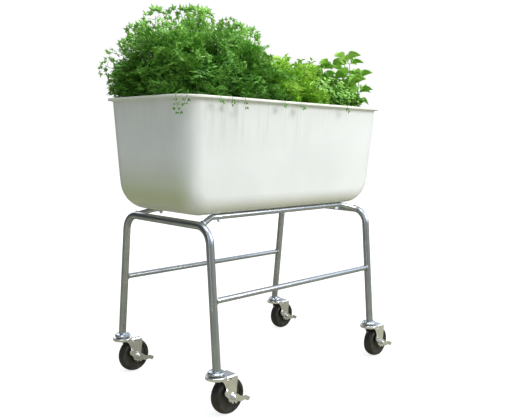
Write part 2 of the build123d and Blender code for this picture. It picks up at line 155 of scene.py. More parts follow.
strength = room.nodes.new("ShaderNodeMix")
wire(
    room,
    (direction, "Generated", bright_side, 0),
    (bright_side, "Value", side_strength, "Value"),
    (bright_side, "Value", mirrored_strength, "Value"),
    (path, "Is Glossy Ray", strength, "Factor"),
    (side_strength, "Result", strength, "A"),
    (mirrored_strength, "Result", strength, "B"),
    (strength, "Result", lit, "Strength"),
    (direction, "Generated", height, "Vector"),
    (height, "Z", half, 0),
    (half, "Value", sky, "Fac"),
    (sky, "Color", lit, "Color"),
    (path, "Is Camera Ray", either, "Fac"),
)
room.links.new(lit.outputs[0], either.inputs[1])
room.links.new(clean.outputs[0], either.inputs[2])
room.links.new(either.outputs[0], out.inputs["Surface"])

# %% Hang the lights
TARGET = Vector((0, 0, 0.55))


def soft_light(name, place, size, power, colour):
    """A square area light that faces the planter."""
    data = bpy.data.lights.new(name, "AREA")
    data.shape = "SQUARE"
    data.size = size
    data.energy = power
    data.color = colour
    light = bpy.data.objects.new(name, data)
    place = Vector(place)
    facing = (TARGET - place).to_track_quat("-Z", "Y").to_matrix().to_4x4()
    light.matrix_world = Matrix.Translation(place) @ facing
    scene.collection.objects.link(light)
    return light


soft_light("main_light", (1.5, -2.6, 2.3), 1.3, 78, (1.0, 0.975, 0.98))
soft_light("top_light", (-0.2, -0.3, 3.0), 1.6, 46, (0.97, 0.99, 1.0))
soft_light("back_light", (0.8, 3.0, 1.8), 1.8, 16, (1.0, 1.0, 1.0))
strip = soft_light("strip_light", (-2.7, -1.1, 0.9), 0.22, 9, (0.90, 0.96, 1.0))
strip.data.shape = "RECTANGLE"
strip.data.size_y = 2.4
print(len(bpy.data.lights), "lights")

# %% [markdown]
# ## Finishes
#
# Each finish is a Principled shader fed by a few small effects. An effect that several finishes
# share is a node group, built once: here a cloudy mix of two colours, a fine relief, and dust that
# has settled near the floor. All of them read Object coordinates, which on these parts are metres
# from the middle of the floor, so one pattern runs unbroken from part to part.

# %% A helper for node groups
def new_group(name, takes, gives):
    """An empty shader group with its sockets. takes is (name, kind, value), gives (name, kind)."""
    group = bpy.data.node_groups.new(name, "ShaderNodeTree")
    for socket, kind, value in takes:
        made = group.interface.new_socket(socket, in_out="INPUT", socket_type=kind)
        made.default_value = value
    for socket, kind in gives:
        group.interface.new_socket(socket, in_out="OUTPUT", socket_type=kind)
    return group, group.nodes.new("NodeGroupInput"), group.nodes.new("NodeGroupOutput")


def math_node(tree, operation, *values):
    """A Math node with its plain numbers set; None leaves a socket for a link."""
    node = tree.nodes.new("ShaderNodeMath")
    node.operation = operation
    for index, value in enumerate(values):
        if value is not None:
            node.inputs[index].default_value = value
    return node


def remap(tree, low, high, to_low=0.0, to_high=1.0):
    """A smooth Map Range node."""
    node = tree.nodes.new("ShaderNodeMapRange")
    node.interpolation_type = "SMOOTHSTEP"
    set_range(node, low, high, to_low, to_high)
    return node


# %% Cloudy colour
FLOAT, COLOUR, VECTOR = "NodeSocketFloat", "NodeSocketColor", "NodeSocketVector"
mottle, given, result = new_group(
    "mottle",
    [
        ("Colour A", COLOUR, (0.5, 0.5, 0.5, 1)),
        ("Colour B", COLOUR, (0.6, 0.6, 0.6, 1)),
        ("Scale", FLOAT, 20.0),
    ],
    [("Color", COLOUR), ("Mask", FLOAT)],
)
place = mottle.nodes.new("ShaderNodeTexCoord")
cloud = mottle.nodes.new("ShaderNodeTexNoise")
cloud.inputs["Detail"].default_value = 5
spread = remap(mottle, 0.35, 0.65)
mix = mottle.nodes.new("ShaderNodeMix")
mix.data_type = "RGBA"
wire(
    mottle,
    (place, "Object", cloud, "Vector"),
    (given, "Scale", cloud, "Scale"),
    (cloud, "Fac", spread, "Value"),
    (spread, "Result", result, "Mask"),
)
mottle.links.new(spread.outputs["Result"], mix.inputs["Factor"])
mottle.links.new(given.outputs["Colour A"], mix.inputs[6])
mottle.links.new(given.outputs["Colour B"], mix.inputs[7])
mottle.links.new(mix.outputs[2], result.inputs["Color"])

# %% Fine relief
relief, given, result = new_group(
    "relief",
    [("Scale", FLOAT, 300.0), ("Strength", FLOAT, 0.1), ("Depth", FLOAT, 0.0005)],
    [("Normal", VECTOR)],
)
place = relief.nodes.new("ShaderNodeTexCoord")
grain = relief.nodes.new("ShaderNodeTexNoise")
grain.inputs["Detail"].default_value = 4
bump = relief.nodes.new("ShaderNodeBump")
wire(
    relief,
    (place, "Object", grain, "Vector"),
    (given, "Scale", grain, "Scale"),
    (grain, "Fac", bump, "Height"),
    (given, "Strength", bump, "Strength"),
    (given, "Depth", bump, "Distance"),
    (bump, "Normal", result, "Normal"),
)

# %% Settled dust
dust, given, result = new_group(
    "settled_dust",
    [("Reach", FLOAT, 0.09), ("Scale", FLOAT, 60.0)],
    [("Mask", FLOAT)],
)
place = dust.nodes.new("ShaderNodeTexCoord")
split = dust.nodes.new("ShaderNodeSeparateXYZ")
share = math_node(dust, "DIVIDE")
low_down = math_node(dust, "SUBTRACT", 1.0, None)
low_down.use_clamp = True
patch = dust.nodes.new("ShaderNodeTexNoise")
patch.inputs["Detail"].default_value = 6
patchy = remap(dust, 0.38, 0.66)
both = math_node(dust, "MULTIPLY")
wire(
    dust,
    (place, "Object", split, "Vector"),
    (split, "Z", share, 0),
    (given, "Reach", share, 1),
    (share, "Value", low_down, 1),
    (place, "Object", patch, "Vector"),
    (given, "Scale", patch, "Scale"),
    (patch, "Fac", patchy, "Value"),
    (low_down, "Value", both, 0),
    (patchy, "Result", both, 1),
    (both, "Value", result, "Mask"),
)
print("node groups:", [group.name for group in bpy.data.node_groups])

# %% A helper for materials
def new_material(name, **sockets):
    """A material whose Principled shader has these plain values."""
    material = bpy.data.materials.new(name)
    material.use_nodes = True
    shader = material.node_tree.nodes["Principled BSDF"]
    for socket, value in sockets.items():
        shader.inputs[socket.replace("_", " ")].default_value = value
    return material, material.node_tree, shader


def use_group(tree, group, **values):
    """One copy of a node group in a material, with its own values."""
    node = tree.nodes.new("ShaderNodeGroup")
    node.node_tree = group
    for socket, value in values.items():
        node.inputs[socket.replace("_", " ")].default_value = value
    return node


def blend_colours(tree, mask, base, colour):
    """Mixes a colour over the base colour where the mask is white."""
    node = tree.nodes.new("ShaderNodeMix")
    node.data_type = "RGBA"
    tree.links.new(mask, node.inputs["Factor"])
    tree.links.new(base, node.inputs[6])
    node.inputs[7].default_value = (*colour, 1)
    return node.outputs[2]


# %% [markdown]
# ## Zinc-plated steel
#
# The tube is plated and lightly polished: metallic, blue-grey, with clouds where the plating is
# duller and a very fine grain. The stampings of the casters are paler and catch some dust. One
# function makes them all, because only the tints, the polish and the amount of dust differ.

# %% Plated metal
PLATING_CLOUDS = 18.0
DUST_ON_METAL = (0.42, 0.38, 0.30)


def plated(name, bright, dull, polish, dull_polish, grain_scale, dusty=0.0):
    """A plated metal with cloudy tint and polish, fine relief, and dust near the floor."""
    material, tree, shader = new_material(name, Metallic=1.0)
    tint = use_group(tree, mottle, Colour_A=(*bright, 1), Colour_B=(*dull, 1), Scale=PLATING_CLOUDS)
    gloss = remap(tree, 0.0, 1.0, polish, dull_polish)
    fine = use_group(tree, relief, Scale=grain_scale, Strength=0.006, Depth=0.00002)
    wire(
        tree,
        (tint, "Mask", gloss, "Value"),
        (gloss, "Result", shader, "Roughness"),
        (fine, "Normal", shader, "Normal"),
    )
    colour = tint.outputs["Color"]
    if dusty:
        grime = use_group(tree, dust, Reach=dusty, Scale=90.0)
        colour = blend_colours(tree, grime.outputs["Mask"], colour, DUST_ON_METAL)
        bare = math_node(tree, "MULTIPLY_ADD", None, -0.7, 1.0)
        wire(tree, (grime, "Mask", bare, 0), (bare, "Value", shader, "Metallic"))
    tree.links.new(colour, shader.inputs["Base Color"])
    return material


zinc_tube = plated("zinc_tube", (0.47, 0.50, 0.54), (0.40, 0.42, 0.46), 0.27, 0.34, 420.0)
weld_metal = plated("weld_metal", (0.60, 0.62, 0.63), (0.40, 0.38, 0.34), 0.30, 0.50, 900.0)
zinc_cup = plated("zinc_cup", (0.60, 0.65, 0.73), (0.50, 0.54, 0.62), 0.20, 0.28, 500.0, 0.03)
zinc_stamping = plated(
    "zinc_stamping", (0.86, 0.86, 0.88), (0.72, 0.71, 0.73), 0.20, 0.30, 600.0, 0.02
)
steel_fasteners = plated(
    "steel_fasteners", (0.76, 0.78, 0.78), (0.58, 0.59, 0.58), 0.24, 0.38, 700.0, 0.06
)
bearing_steel = plated("bearing_steel", (0.82, 0.82, 0.84), (0.62, 0.60, 0.55), 0.10, 0.25, 900.0)
bushing_bronze = plated("bushing_bronze", (0.66, 0.48, 0.26), (0.45, 0.32, 0.17), 0.32, 0.50, 1200.0)
print("metals ready")

# %% [markdown]
# ## Rubber
#
# The wheels are hard black rubber. New rubber is nearly black and slightly shiny; rolling leaves a
# brown-grey film of dust on the tread and in patches up the sides.

# %% Wheel and seal rubber
DUST_ON_RUBBER = (0.12, 0.10, 0.075)


def rubber(name, black, worn, reach):
    """Black rubber with a worn tint and dust up to a height."""
    material, tree, shader = new_material(name, Roughness=0.5)
    shader.inputs["Specular IOR Level"].default_value = 0.45
    tint = use_group(tree, mottle, Colour_A=(*black, 1), Colour_B=(*worn, 1), Scale=45.0)
    grime = use_group(tree, dust, Reach=reach, Scale=70.0)
    fine = use_group(tree, relief, Scale=800.0, Strength=0.25, Depth=0.0004)
    film = math_node(tree, "MULTIPLY", None, 0.35)
    tree.links.new(grime.outputs["Mask"], film.inputs[0])
    colour = blend_colours(tree, film.outputs[0], tint.outputs["Color"], DUST_ON_RUBBER)
    matt = remap(tree, 0.0, 1.0, 0.38, 0.75)
    wire(
        tree,
        (grime, "Mask", matt, "Value"),
        (matt, "Result", shader, "Roughness"),
        (fine, "Normal", shader, "Normal"),
    )
    tree.links.new(colour, shader.inputs["Base Color"])
    return material


wheel_rubber = rubber("wheel_rubber", (0.016, 0.015, 0.014), (0.030, 0.026, 0.022), 0.12)
seal_rubber = rubber("seal_rubber", (0.015, 0.015, 0.015), (0.03, 0.03, 0.03), 0.01)

# %% [markdown]
# ## White moulded plastic
#
# The tub is satin white. Watering has left faint grey-green runs down its sides from under the rim,
# and the rim itself has yellowed a little in the sun. Its bottom curve carries a painted warm
# reflection of the grass below, and the lower half of both end walls a stronger, greener painted
# reflection of the grass. A run is a noise pattern squeezed sideways and stretched down the wall,
# which fades out below the rim, shows only in patches along it, and is strongest left of the middle.

# %% Water marks
WETTEST_LEFT_OF_MIDDLE = 0.15
runs, given, result = new_group(
    "water_runs",
    [("Top", FLOAT, 0.835), ("Length", FLOAT, 0.16)],
    [("Mask", FLOAT)],
)
place = runs.nodes.new("ShaderNodeTexCoord")
squeeze = runs.nodes.new("ShaderNodeMapping")
squeeze.inputs["Scale"].default_value = (75.0, 75.0, 5.0)
streaks = runs.nodes.new("ShaderNodeTexNoise")
streaks.inputs["Scale"].default_value = 1.0
streaks.inputs["Detail"].default_value = 4
thin = remap(runs, 0.42, 0.74)
broad = runs.nodes.new("ShaderNodeMapping")
broad.inputs["Scale"].default_value = (7.0, 7.0, 1.5)
broad.inputs["Location"].default_value = (0.4, 0.0, 0.0)
patches = runs.nodes.new("ShaderNodeTexNoise")
patches.inputs["Scale"].default_value = 1.0
patches.inputs["Detail"].default_value = 2
somewhere = remap(runs, 0.40, 0.60)
split = runs.nodes.new("ShaderNodeSeparateXYZ")
below = math_node(runs, "SUBTRACT")
along = math_node(runs, "DIVIDE")
fade = remap(runs, 0.0, 1.0, 1.0, 0.0)
from_middle = math_node(runs, "ADD", None, WETTEST_LEFT_OF_MIDDLE)
offset = math_node(runs, "ABSOLUTE")
gathered = remap(runs, 0.13, 0.26, 1.0, 0.3)
gathered_runs = math_node(runs, "MULTIPLY")
patchy_runs = math_node(runs, "MULTIPLY")
fading_runs = math_node(runs, "MULTIPLY")
wire(
    runs,
    (place, "Object", squeeze, "Vector"),
    (squeeze, "Vector", streaks, "Vector"),
    (streaks, "Fac", thin, "Value"),
    (place, "Object", broad, "Vector"),
    (broad, "Vector", patches, "Vector"),
    (patches, "Fac", somewhere, "Value"),
    (place, "Object", split, "Vector"),
    (given, "Top", below, 0),
    (split, "Z", below, 1),
    (below, "Value", along, 0),
    (given, "Length", along, 1),
    (along, "Value", fade, "Value"),
    (thin, "Result", patchy_runs, 0),
    (somewhere, "Result", patchy_runs, 1),
    (patchy_runs, "Value", fading_runs, 0),
    (fade, "Result", fading_runs, 1),
    (split, "X", from_middle, 0),
    (from_middle, "Value", offset, 0),
    (offset, "Value", gathered, "Value"),
    (fading_runs, "Value", gathered_runs, 0),
    (gathered, "Result", gathered_runs, 1),
    (gathered_runs, "Value", result, "Mask"),
)

# %% The tub's plastic
WATER_STAIN = (0.42, 0.46, 0.38)
# painted warm reflection of the grass below, on the tub's bottom curve
PAINTED_GRASS_BOUNCE = (0.78, 0.78, 0.62)
YELLOWED_RIM = (0.90, 0.88, 0.72)
# painted greener reflection of the grass, low on both end walls
PAINTED_GRASS_GLOW = (0.50, 0.56, 0.27)
tub_plastic, tree, shader = new_material("tub_plastic", Roughness=0.34)
shader.inputs["Specular IOR Level"].default_value = 0.5
tint = use_group(
    tree, mottle, Colour_A=(0.84, 0.86, 0.85, 1), Colour_B=(0.79, 0.81, 0.80, 1), Scale=5.0
)
marks = use_group(tree, runs, Top=0.836, Length=0.17)
soft = math_node(tree, "MULTIPLY", None, 0.46)
where = tree.nodes.new("ShaderNodeTexCoord")
split = tree.nodes.new("ShaderNodeSeparateXYZ")
# foot: where the painted warm reflection of the grass lies, strongest at the bottom of the tub
foot = remap(tree, 0.526, 0.575, 0.55, 0.0)
crown = remap(tree, 0.834, 0.8425, 0.0, 0.6)
matt = remap(tree, 0.0, 1.0, 0.33, 0.60)
fine = use_group(tree, relief, Scale=260.0, Strength=0.06, Depth=0.0005)
wire(
    tree,
    (marks, "Mask", soft, 0),
    (where, "Object", split, "Vector"),
    (split, "Z", foot, "Value"),
    (split, "Z", crown, "Value"),
    (marks, "Mask", matt, "Value"),
    (matt, "Result", shader, "Roughness"),
    (fine, "Normal", shader, "Normal"),
)
colour = blend_colours(tree, soft.outputs[0], tint.outputs["Color"], WATER_STAIN)
colour = blend_colours(tree, foot.outputs["Result"], colour, PAINTED_GRASS_BOUNCE)
colour = blend_colours(tree, crown.outputs["Result"], colour, YELLOWED_RIM)
# painted reflection of the grass: a yellow-green cast low on both end walls, chosen by which way the
# face points
faces = tree.nodes.new("ShaderNodeNewGeometry")
either_end = math_node(tree, "ABSOLUTE")
aside = tree.nodes.new("ShaderNodeSeparateXYZ")
end_wall = remap(tree, 0.45, 0.95, 0.0, 1.0)
low = remap(tree, 0.53, 0.70, 0.85, 0.0)
painted_glow_mask = math_node(tree, "MULTIPLY")
wire(
    tree,
    (faces, "Normal", aside, "Vector"),
    (aside, "X", either_end, 0),
    (either_end, "Value", end_wall, "Value"),
    (split, "Z", low, "Value"),
    (end_wall, "Result", painted_glow_mask, 0),
    (low, "Result", painted_glow_mask, 1),
)
colour = blend_colours(tree, painted_glow_mask.outputs[0], colour, PAINTED_GRASS_GLOW)
tree.links.new(colour, shader.inputs["Base Color"])

# %% [markdown]
# ## Soil
#
# Potting mix is dark and crumbly, with lighter fibres of bark. Its colour comes from a cell pattern
# broken up by noise.

# %% Potting mix
potting_mix, tree, shader = new_material("potting_mix", Roughness=0.95)
shader.inputs["Specular IOR Level"].default_value = 0.2
where = tree.nodes.new("ShaderNodeTexCoord")
crumbs = tree.nodes.new("ShaderNodeTexVoronoi")
crumbs.inputs["Scale"].default_value = 260.0
crumb_tint = ramp(
    tree,
    [
        (0.0, (0.018, 0.011, 0.007)),
        (0.45, (0.050, 0.032, 0.019)),
        (0.80, (0.105, 0.068, 0.040)),
        (1.0, (0.30, 0.24, 0.17)),
    ],
)
fine = use_group(tree, relief, Scale=420.0, Strength=0.9, Depth=0.0015)
wire(
    tree,
    (where, "Object", crumbs, "Vector"),
    (crumbs, "Color", crumb_tint, "Fac"),
    (crumb_tint, "Color", shader, "Base Color"),
    (fine, "Normal", shader, "Normal"),
)

# %% [markdown]
# ## Leaves
#
# The green is darker low in the plant and yellower at its top: painted shade deep in the plant and
# painted sunlight on the top leaves.
# So the green is a ramp over three things added together: the height in the plant, clouds the size
# of a sprig, and cells the size of a leaflet. A little sheen from the waxy skin comes from the
# shader's own gloss.

# %% Leaf greens
def leaf_green(name, dark, mid, light, low, high, cell_scale, gloss):
    """A leaf material: three greens, chosen by height, sprig and leaflet."""
    material, tree, shader = new_material(name, Roughness=gloss)
    shader.inputs["Specular IOR Level"].default_value = 0.40
    where = tree.nodes.new("ShaderNodeTexCoord")
    split = tree.nodes.new("ShaderNodeSeparateXYZ")
    # rise: the height ramp, painted shade low in the plant and painted sunlight at its top
    rise = remap(tree, low, high)
    cells = tree.nodes.new("ShaderNodeTexVoronoi")
    cells.inputs["Scale"].default_value = cell_scale
    sprigs = tree.nodes.new("ShaderNodeTexNoise")
    sprigs.inputs["Scale"].default_value = 16.0
    sprigs.inputs["Detail"].default_value = 2
    leaflet_share = math_node(tree, "MULTIPLY", None, 0.36)
    sprig_share = math_node(tree, "MULTIPLY_ADD", None, 0.75, None)
    height_share = math_node(tree, "MULTIPLY_ADD", None, 0.32, None)
    shift = math_node(tree, "SUBTRACT", None, 0.18)
    green = ramp(tree, [(0.08, dark), (0.48, mid), (0.95, light)])
    fine = use_group(tree, relief, Scale=500.0, Strength=0.25, Depth=0.0006)
    wire(
        tree,
        (where, "Object", split, "Vector"),
        (split, "Z", rise, "Value"),
        (where, "Object", cells, "Vector"),
        (where, "Object", sprigs, "Vector"),
        (cells, "Color", leaflet_share, 0),
        (sprigs, "Fac", sprig_share, 0),
        (leaflet_share, "Value", sprig_share, 2),
        (rise, "Result", height_share, 0),
        (sprig_share, "Value", height_share, 2),
        (height_share, "Value", shift, 0),
        (shift, "Value", green, "Fac"),
        (green, "Color", shader, "Base Color"),
        (fine, "Normal", shader, "Normal"),
    )
    return material


parsley_leaf = leaf_green(
    "parsley_leaf",
    (0.022, 0.085, 0.008), (0.120, 0.335, 0.032), (0.370, 0.680, 0.140),
    0.82, 1.08, 85.0, 0.48,
)
herb_leaf = leaf_green(
    "herb_leaf",
    (0.080, 0.240, 0.008), (0.270, 0.560, 0.035), (0.520, 0.780, 0.130),
    0.82, 0.95, 95.0, 0.46,
)
grey_herb_leaf = leaf_green(
    "grey_herb_leaf",
    (0.060, 0.190, 0.014), (0.190, 0.430, 0.055), (0.430, 0.660, 0.180),
    0.82, 0.94, 110.0, 0.55,
)
basil_leaf = leaf_green(
    "basil_leaf",
    (0.080, 0.250, 0.015), (0.210, 0.480, 0.050), (0.430, 0.690, 0.140),
    0.84, 1.02, 40.0, 0.36,
)
print(len(bpy.data.materials), "materials")

# %% [markdown]
# ## Dress the CAD parts
#
# Every hard part keeps its CAD shape and only changes its material. The part's name says what it is.

# %% Give each part its finish
FINISHES = [
    ("end_frame", zinc_tube),
    ("rail", zinc_tube),
    ("stretcher", zinc_tube),
    ("weld_beads", weld_metal),
    ("tub_bolt_seals", seal_rubber),
    ("tub_bolt", steel_fasteners),
    ("tub", tub_plastic),
    ("soil", potting_mix),
    ("_upper_race", zinc_cup),
    ("_balls", bearing_steel),
    ("_fork", zinc_stamping),
    ("_brake_lever", zinc_stamping),
    ("_wheel", wheel_rubber),
    ("_bushing", bushing_bronze),
]
for name, node in nodes.items():
    finish = next((paint for key, paint in FINISHES if key in name), steel_fasteners)
    for slot_index in range(len(node.data.materials)):
        node.data.materials[slot_index] = finish
print("dressed", len(nodes), "parts")

# %% [markdown]
# ## Shapes that plants are made of
#
# Foliage is thousands of copies of a few small shapes: a leaflet and a bit of stalk make a sprig,
# and sprigs make the plant. A mesh datablock is cheap to copy, turn and pour into one bmesh, so
# each plant ends as a single mesh. The leaflets are closed, thin lenses: a flat cone with its rim
# pulled in and out to make the lobes.

# %% Helpers to store and copy small shapes
def store(bm, name):
    """Turns a bmesh into a mesh datablock."""
    bmesh.ops.recalc_face_normals(bm, faces=bm.faces)
    mesh = bpy.data.meshes.new(name)
    bm.to_mesh(mesh)
    bm.free()
    return mesh


def pour(bm, mesh, matrix):
    """Adds a copy of a stored shape to a bmesh, placed by a matrix."""
    copy = mesh.copy()
    copy.transform(matrix)
    bm.from_mesh(copy)
    bpy.data.meshes.remove(copy)


def between(start, end, radius):
    """The matrix that lays the unit stalk between two points."""
    start, end = Vector(start), Vector(end)
    facing = (end - start).to_track_quat("Z", "Y").to_matrix().to_4x4()
    size = Matrix.Diagonal((radius, radius, (end - start).length, 1))
    return Matrix.Translation((start + end) / 2) @ facing @ size


def pointing(base, forward, outward, length, width=None):
    """The matrix that lays a unit leaf from its base along forward, with its face to outward."""
    forward = Vector(forward).normalized()
    side = forward.cross(Vector(outward))
    if side.length < 0.001:
        side = forward.orthogonal()
    side.normalize()
    face = side.cross(forward)
    turned = Matrix((side, forward, face)).transposed().to_4x4()
    size = Matrix.Diagonal((width or length, length, length, 1))
    return Matrix.Translation(base) @ turned @ size


def unit_stalk():
    """A closed three-sided stalk, one unit long, that tapers a little."""
    bm = bmesh.new()
    bmesh.ops.create_cone(bm, segments=3, radius1=1, radius2=0.7, depth=1, cap_ends=True)
    return store(bm, "unit_stalk")


stalk = unit_stalk()
print("stalk has", len(stalk.polygons), "faces")


# %% A lobed leaflet
def lobed_leaflet(lobes, notch, curl, seed):
    """A leaf one unit long, from the origin along +Y, with pointed lobes round its edge."""
    dice = random.Random(seed)
    bm = bmesh.new()
    bmesh.ops.create_cone(
        bm, segments=2 * lobes, radius1=1, radius2=0, depth=0.14, cap_ends=True, cap_tris=True
    )
    bmesh.ops.remove_doubles(bm, verts=bm.verts, dist=0.001)
    for vertex in bm.verts:
        x, y, z = vertex.co
        if math.hypot(x, y) > 0.5:
            angle = math.atan2(x, y)
            step = round(angle / (math.pi / lobes))
            reach = 0.34 + 0.22 * math.cos(angle)
            if step % 2:
                reach *= notch
            lift = curl * dice.uniform(-1, 1) * (0.35 if step % 2 else 1.0)
            vertex.co = Vector((math.sin(angle) * reach * 0.95, math.cos(angle) * reach, z + lift))
        vertex.co.y += 0.44
    return store(bm, "lobed_leaflet")


leaflets = [
    lobed_leaflet(5, 0.42, 0.16, 11),
    lobed_leaflet(5, 0.36, 0.2, 12),
    lobed_leaflet(7, 0.5, 0.2, 13),
]
print("a leaflet has", len(leaflets[0].polygons), "faces")


# %% [markdown]
# ## A frond of parsley
#
# A parsley leaf is a stalk that branches in pairs, with a cluster of three lobed leaflets at the end
# of each branch. Five slightly different fronds are enough to hide the repetition.

# %% Make the fronds
def frond(seed, pairs, leaf_size, droop):
    """A flat, drooping leaf one unit long, along +Y, facing +Z."""
    dice = random.Random(seed)
    bm = bmesh.new()

    def spine(t):
        return Vector((0.06 * math.sin(3 * t + seed), t * 0.72, -droop * t * t))

    steps = 3
    for index in range(steps):
        pour(bm, stalk, between(spine(index / steps), spine((index + 1) / steps), 0.014))
    ends = [(spine(1.0), Vector((0, 1, -droop)), 1.0)]
    for pair in range(pairs):
        t = 0.38 + 0.5 * pair / max(pairs - 1, 1)
        for side in (-1, 1):
            start = spine(t + dice.uniform(-0.04, 0.04))
            sideways, onwards = dice.uniform(0.8, 1.1), dice.uniform(0.35, 0.7)
            heading = Vector((side * sideways, onwards, dice.uniform(-0.35, 0.15)))
            length = 0.26 * (1.1 - 0.45 * t) * dice.uniform(0.85, 1.15)
            end = start + heading.normalized() * length
            pour(bm, stalk, between(start, end, 0.010))
            ends.append((end, heading, 0.9))
    for end, heading, size in ends:
        for turn_by in (-0.95, 0.0, 0.95):
            aim = Matrix.Rotation(turn_by + dice.uniform(-0.2, 0.2), 3, "Z") @ heading
            aim.z += dice.uniform(-0.3, 0.3)
            face = Vector((dice.uniform(-0.5, 0.5), dice.uniform(-0.5, 0.5), 1))
            length = leaf_size * size * dice.uniform(0.8, 1.2)
            pour(bm, dice.choice(leaflets), pointing(end, aim, face, length))
    return store(bm, "frond")


parsley_fronds = [frond(seed, 2, 0.30, 0.18 + 0.05 * (seed % 3)) for seed in range(21, 26)]
print("a frond has", len(parsley_fronds[0].polygons), "faces")

# %% [markdown]
# ## Filling a bush
#
# A bush is described by a few rounded lumps. Fronds are dropped at random into each lump, most of
# them near its outside, and each points outwards and up from the root with its face to the light.
# A thin stem then joins each frond to the soil, so that nothing floats.

# %% Drop clumps of sprigs into lumps
SOIL_TOP = 0.806
TUB_HALF_X, TUB_HALF_Y = 0.405, 0.172
OVER_THE_RIM = 0.875
LOWEST_KNEE = 0.86


def inside_tub(point):
    """Whether a point is over the soil."""
    return abs(point.x) < TUB_HALF_X and abs(point.y) < TUB_HALF_Y


def plant_sprig(bm, shape, tip, forward, face, length, stem_radius=0.0011):
    """One sprig that ends at tip, with a stem that joins it to the soil inside the tub."""
    base = tip - forward * length * 0.9
    base.z = max(base.z, SOIL_TOP + 0.004)
    pour(bm, shape, pointing(base, forward, face, length))
    root = Vector((
        max(-TUB_HALF_X, min(TUB_HALF_X, base.x * 0.94)),
        max(-TUB_HALF_Y, min(TUB_HALF_Y, base.y * 0.80)),
        SOIL_TOP - 0.004,
    ))
    knee = Vector((root.x, root.y, (root.z + max(base.z, LOWEST_KNEE)) / 2)) + (base - root) * 0.12
    pour(bm, stalk, between(root, knee, stem_radius))
    pour(bm, stalk, between(knee, base, stem_radius))


def scatter(bm, shapes, lumps, size, rise, seed, clump=11, clump_radius=0.030, keep=None):
    """Fills lumps (centre, half sizes, number of clumps) with clumps of sprigs about size long."""
    dice = random.Random(seed)
    for centre, half_sizes, count in lumps:
        centre = Vector(centre)
        for _ in range(count):
            while True:
                way = Vector((dice.gauss(0, 1), dice.gauss(0, 1), dice.gauss(0.3, 1))).normalized()
                depth = dice.uniform(0.35, 1.0) ** 0.5
                heart = centre + Vector(w * h * depth for w, h in zip(way, half_sizes))
                if heart.z > SOIL_TOP + 0.02 and (keep is None or keep(heart)):
                    break
            outward = Vector(w / h for w, h in zip(way, half_sizes)).normalized()
            vigour = dice.uniform(0.8, 1.15)
            for _ in range(clump):
                wander = Vector(dice.gauss(0, 0.42) for _ in range(3))
                forward = (outward * 0.8 + Vector((0, 0, rise)) + wander).normalized()
                tip = heart + forward * dice.uniform(-0.2, 1.0) * clump_radius + wander * clump_radius
                low = tip.z < OVER_THE_RIM
                if tip.z < SOIL_TOP + 0.015 or (low and not inside_tub(tip)):
                    continue
                length = size * vigour * dice.uniform(0.75, 1.2)
                face = outward + Vector((0, 0, 0.9)) + wander * 0.6
                plant_sprig(bm, dice.choice(shapes), tip, forward, face, length)


def finish_piece(bm, name, paints, replaced=()):
    """Makes an object from a bmesh, on the frame body, with its finish."""
    mesh = bpy.data.meshes.new(name)
    bm.to_mesh(mesh)
    bm.free()
    piece = bpy.data.objects.new(name, mesh)
    for paint in paints:
        mesh.materials.append(paint)
    scene.collection.objects.link(piece)
    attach(piece, "frame")
    if replaced:
        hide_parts(*replaced)
    print(name, "has", sum(len(face.vertices) - 2 for face in mesh.polygons), "triangles")


# %% Grow the parsley
PARSLEY = {
    "parsley_left": (
        [
            ((-0.331, 0.020, 0.925), (0.100, 0.150, 0.115), 31),
            ((-0.380, 0.110, 0.890), (0.032, 0.055, 0.050), 12),
            ((-0.366, -0.040, 0.862), (0.038, 0.100, 0.030), 14),
            ((-0.300, -0.060, 0.865), (0.095, 0.100, 0.055), 14),
        ],
        # leading fronds: tip and length
        [
            ((-0.430, 0.190, 0.955), 0.085),
            ((-0.425, 0.150, 0.925), 0.080),
            ((-0.345, 0.060, 1.094), 0.110),
            ((-0.400, 0.060, 1.040), 0.090),
        ],
    ),
    "parsley_middle": (
        [
            ((-0.235, 0.000, 0.945), (0.115, 0.150, 0.120), 34),
            ((-0.190, -0.080, 0.872), (0.120, 0.080, 0.060), 16),
        ],
        [
            ((-0.250, 0.000, 1.108), 0.120),
            ((-0.236, -0.010, 1.100), 0.100),
            ((-0.225, -0.010, 1.098), 0.100),
            ((-0.275, 0.030, 1.100), 0.100),
        ],
    ),
    "parsley_right": (
        [
            ((-0.135, 0.000, 0.935), (0.095, 0.150, 0.110), 30),
            ((-0.060, -0.060, 0.885), (0.085, 0.095, 0.080), 18),
            ((-0.120, -0.125, 0.856), (0.110, 0.040, 0.030), 14),
        ],
        [
            ((-0.035, -0.010, 1.078), 0.110),
            ((-0.055, 0.000, 1.072), 0.100),
            ((-0.080, 0.000, 1.080), 0.100),
            ((-0.045, -0.020, 1.055), 0.090),
        ],
    ),
}


def leading_fronds(bm, leaders, shapes):
    """Single taller fronds at given tips."""
    for index, (tip, length) in enumerate(leaders):
        tip = Vector(tip)
        forward = (tip - Vector((tip.x * 0.9, tip.y * 0.6, 0.90))).normalized()
        shape = shapes[index % len(shapes)]
        plant_sprig(bm, shape, tip, forward, Vector((-0.6, -0.7, 0.3)), length, 0.0015)


for index, (name, (lumps, leaders)) in enumerate(PARSLEY.items()):
    bm = bmesh.new()
    scatter(bm, parsley_fronds, lumps, 0.070, 0.35, 40 + index)
    leading_fronds(bm, leaders, parsley_fronds)
    finish_piece(bm, name, [parsley_leaf], ["parsley_bush"])

# %% [markdown]
# ## The low herbs
#
# Right of the parsley grow low, light green herbs: first a frilly one with broad lobed leaves, then
# a small-leaved one whose leaves sit in pairs up each stem. Its leaf is a lens with eight corners.

